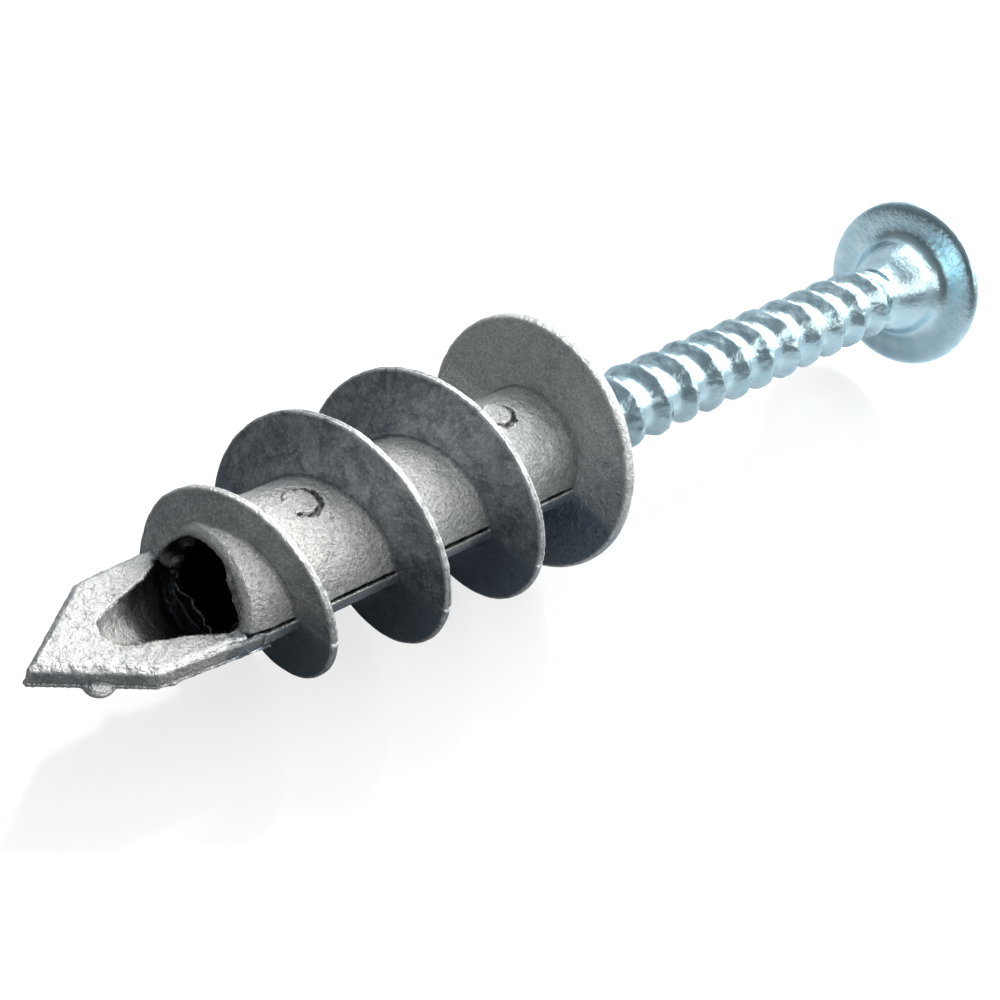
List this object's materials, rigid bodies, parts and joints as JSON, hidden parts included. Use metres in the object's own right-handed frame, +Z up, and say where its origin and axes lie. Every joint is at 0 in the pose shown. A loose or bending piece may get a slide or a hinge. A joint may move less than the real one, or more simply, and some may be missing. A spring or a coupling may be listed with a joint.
{
  "type": "self-drilling plasterboard anchor with screw",
  "caption": "Self-drilling metal wall anchor for plasterboard: drill blade, coarse outer thread and a recessed flange, with a wafer-head screw started in its bore.",
  "frame": {"origin": "on the anchor's axis, in the plane of the flange's back face, where it seats against the wall", "axes": "+X along the axis from the drill tip to the screw head, out of the wall; +Z up, normal to the flat of the drill blade; the wall fills X < 0"},
  "size_m": [0.0699, 0.0142, 0.0142],
  "materials": {
    "zinc": "bare zinc alloy die casting, dull with worn bright edges",
    "plated": "bright blue zinc plated steel"
  },
  "bodies": {
    "anchor_body": {"anchor": "zinc"},
    "screw_slide_body": {"screw_point": "plated"},
    "screw_turn_body": {"screw": "plated"}
  },
  "joints": [
    {"name": "screw_drive", "type": "slide", "parent": "anchor_body", "child": "screw_slide_body", "axis": [-1, 0, 0], "range_m": [-0.0035, 0.0212]},
    {"name": "screw_turn", "type": "hinge", "parent": "screw_slide_body", "child": "screw_turn_body", "pos_m": [0, 0, 0], "axis": [-1, 0, 0], "range_deg": [-513, 3103]}
  ],
  "couplings": [
    {"joint": "screw_turn", "follows": "screw_drive", "rad_per_m": 2554.1}
  ]
}
